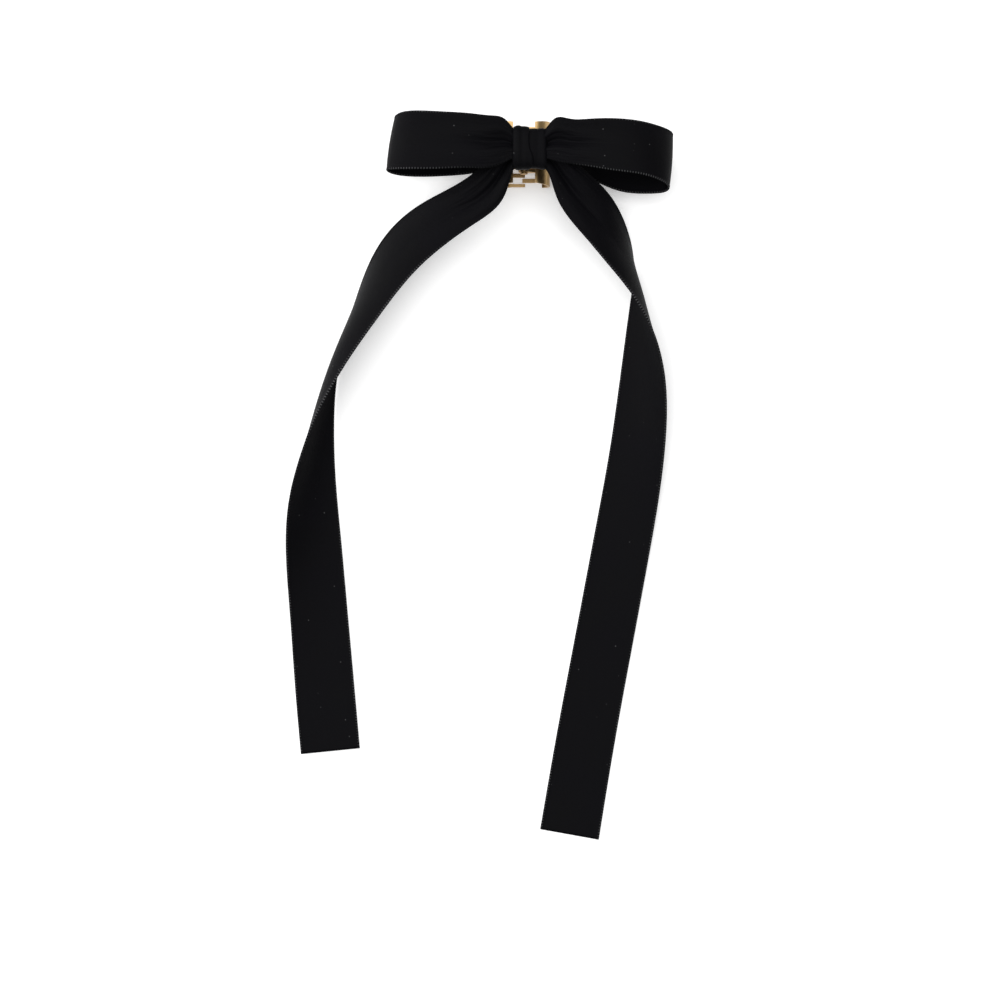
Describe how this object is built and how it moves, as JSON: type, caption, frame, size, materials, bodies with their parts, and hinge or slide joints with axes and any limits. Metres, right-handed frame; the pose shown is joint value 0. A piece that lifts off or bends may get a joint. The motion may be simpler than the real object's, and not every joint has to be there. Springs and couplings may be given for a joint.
{
  "type": "hair bow",
  "caption": "Satin ribbon hair bow with wide loops and long twisted tails on a small spring claw clip.",
  "frame": {"origin": "middle of the closed claw's mouth, between the tooth tips, on the plane the bow lies on", "axes": "+Z out of the front of the bow, +Y along the hinge pin from the tails up to the loops, +X to the right seen from the front"},
  "size_m": [0.1159, 0.2179, 0.0214],
  "materials": {
    "satin": "black polyester satin with woven selvedges",
    "thread": "black sewing thread",
    "glue": "clear amber hot-melt glue",
    "gold_plate": "pale gold plate, polished",
    "spring_wire": "gold-coloured spring wire"
  },
  "bodies": {
    "bow": {"loop_ribbon": "satin", "tail_ribbon": "satin", "knot_wrap": "satin", "gathering_thread": "thread", "glue_pad": "glue", "binding_thread": "thread", "hinge_pin": "gold_plate", "torsion_spring": "spring_wire"},
    "jaw_left": {"jaw_left": "gold_plate"},
    "jaw_right": {"jaw_right": "gold_plate"}
  },
  "joints": [
    {"name": "jaw_right_hinge", "type": "hinge", "parent": "bow", "child": "jaw_right", "pos_m": [0, 0, 0.0085], "axis": [0, -1, 0], "range_deg": [0, 25], "stiffness_Nm_per_rad": 0.012, "springref_deg": -20.05, "deforming": ["torsion_spring"]},
    {"name": "jaw_left_hinge", "type": "hinge", "parent": "bow", "child": "jaw_left", "pos_m": [0, 0, 0.0085], "axis": [0, 1, 0], "range_deg": [0, 25], "stiffness_Nm_per_rad": 0.012, "springref_deg": -20.05, "deforming": ["torsion_spring"]}
  ],
  "couplings": [
    {"joint": "jaw_left_hinge", "follows": "jaw_right_hinge", "ratio": 1}
  ]
}
